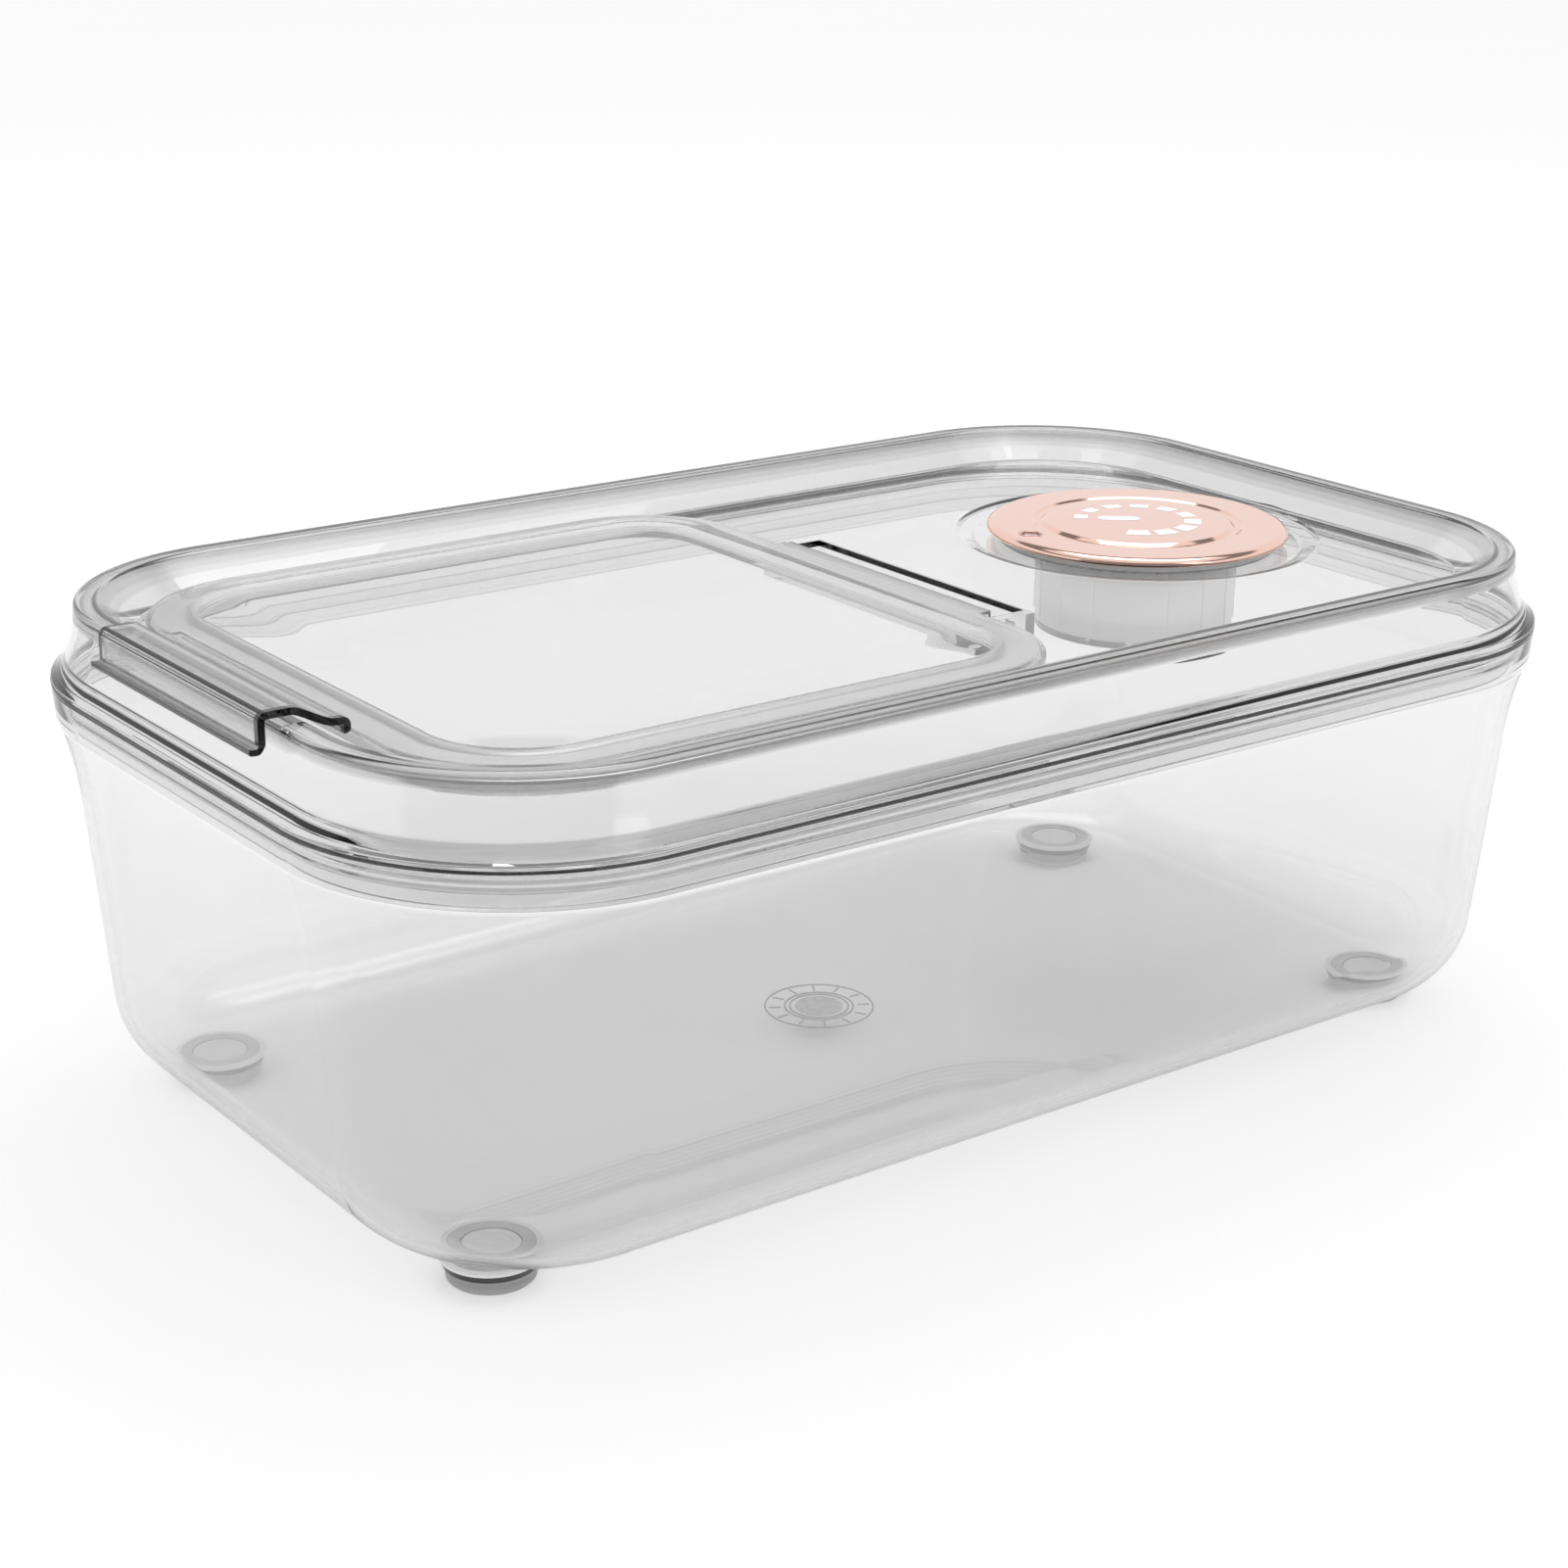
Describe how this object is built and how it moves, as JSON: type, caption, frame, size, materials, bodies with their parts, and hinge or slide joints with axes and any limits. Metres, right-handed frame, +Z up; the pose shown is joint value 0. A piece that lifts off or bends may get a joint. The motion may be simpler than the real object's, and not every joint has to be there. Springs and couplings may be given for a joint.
{
  "type": "rice bin with flip lid",
  "caption": "Clear tapered food bin with a lift-off lid frame, a hinged flip panel with a pull tab and a turning date dial on a drop-in desiccant cup.",
  "frame": {"origin": "on the table, under the middle of the bin's overall box", "axes": "+Z up, +Y along the bin from the pull tab towards the date dial, +X across it"},
  "size_m": [0.246, 0.4, 0.1455],
  "materials": {
    "clear_plastic": "clear smoky grey, glossy",
    "foot_rubber": "translucent grey, satin",
    "seal_silicone": "translucent silicone, satin",
    "pin_steel": "drawn stainless steel",
    "refill_fabric": "white nonwoven",
    "vent_plastic": "dark grey, glossy",
    "white_plastic": "white, fine satin",
    "rose_gold": "electroplated rose gold"
  },
  "bodies": {
    "bin": {"bin_body": "clear_plastic", "foot_pad_front_left": "foot_rubber", "foot_pad_front_right": "foot_rubber", "foot_pad_rear_left": "foot_rubber", "foot_pad_rear_right": "foot_rubber"},
    "lid": {"lid_frame": "clear_plastic", "lid_gasket": "seal_silicone", "hinge_pin": "clear_plastic"},
    "flip": {"flip_lid": "clear_plastic", "flip_gasket": "seal_silicone"},
    "module": {"desiccant_cup": "clear_plastic", "cup_gasket": "seal_silicone", "dial_base": "white_plastic", "number_ring": "white_plastic"},
    "dial": {"dial_cover": "rose_gold", "dial_insert": "rose_gold", "dial_washer": "pin_steel", "dial_screw": "pin_steel"},
    "vent": {"vent_cap": "vent_plastic", "desiccant_refill": "refill_fabric"}
  },
  "joints": [
    {"name": "lid_lift", "type": "slide", "parent": "bin", "child": "lid", "axis": [0, 0, 1], "range_m": [0, 0.06]},
    {"name": "flip_hinge", "type": "hinge", "parent": "lid", "child": "flip", "pos_m": [0, 0.022, 0.1305], "axis": [-1, 0, 0], "range_deg": [0, 105]},
    {"name": "cup_lift", "type": "slide", "parent": "lid", "child": "module", "axis": [0, 0, 1], "range_m": [0, 0.045]},
    {"name": "dial_turn", "type": "hinge", "parent": "module", "child": "dial", "pos_m": [0, 0.1194, 0.136], "axis": [0, 0, 1], "continuous": true},
    {"name": "vent_pull", "type": "slide", "parent": "module", "child": "vent", "axis": [0, 0, -1], "range_m": [0, 0.012]}
  ]
}
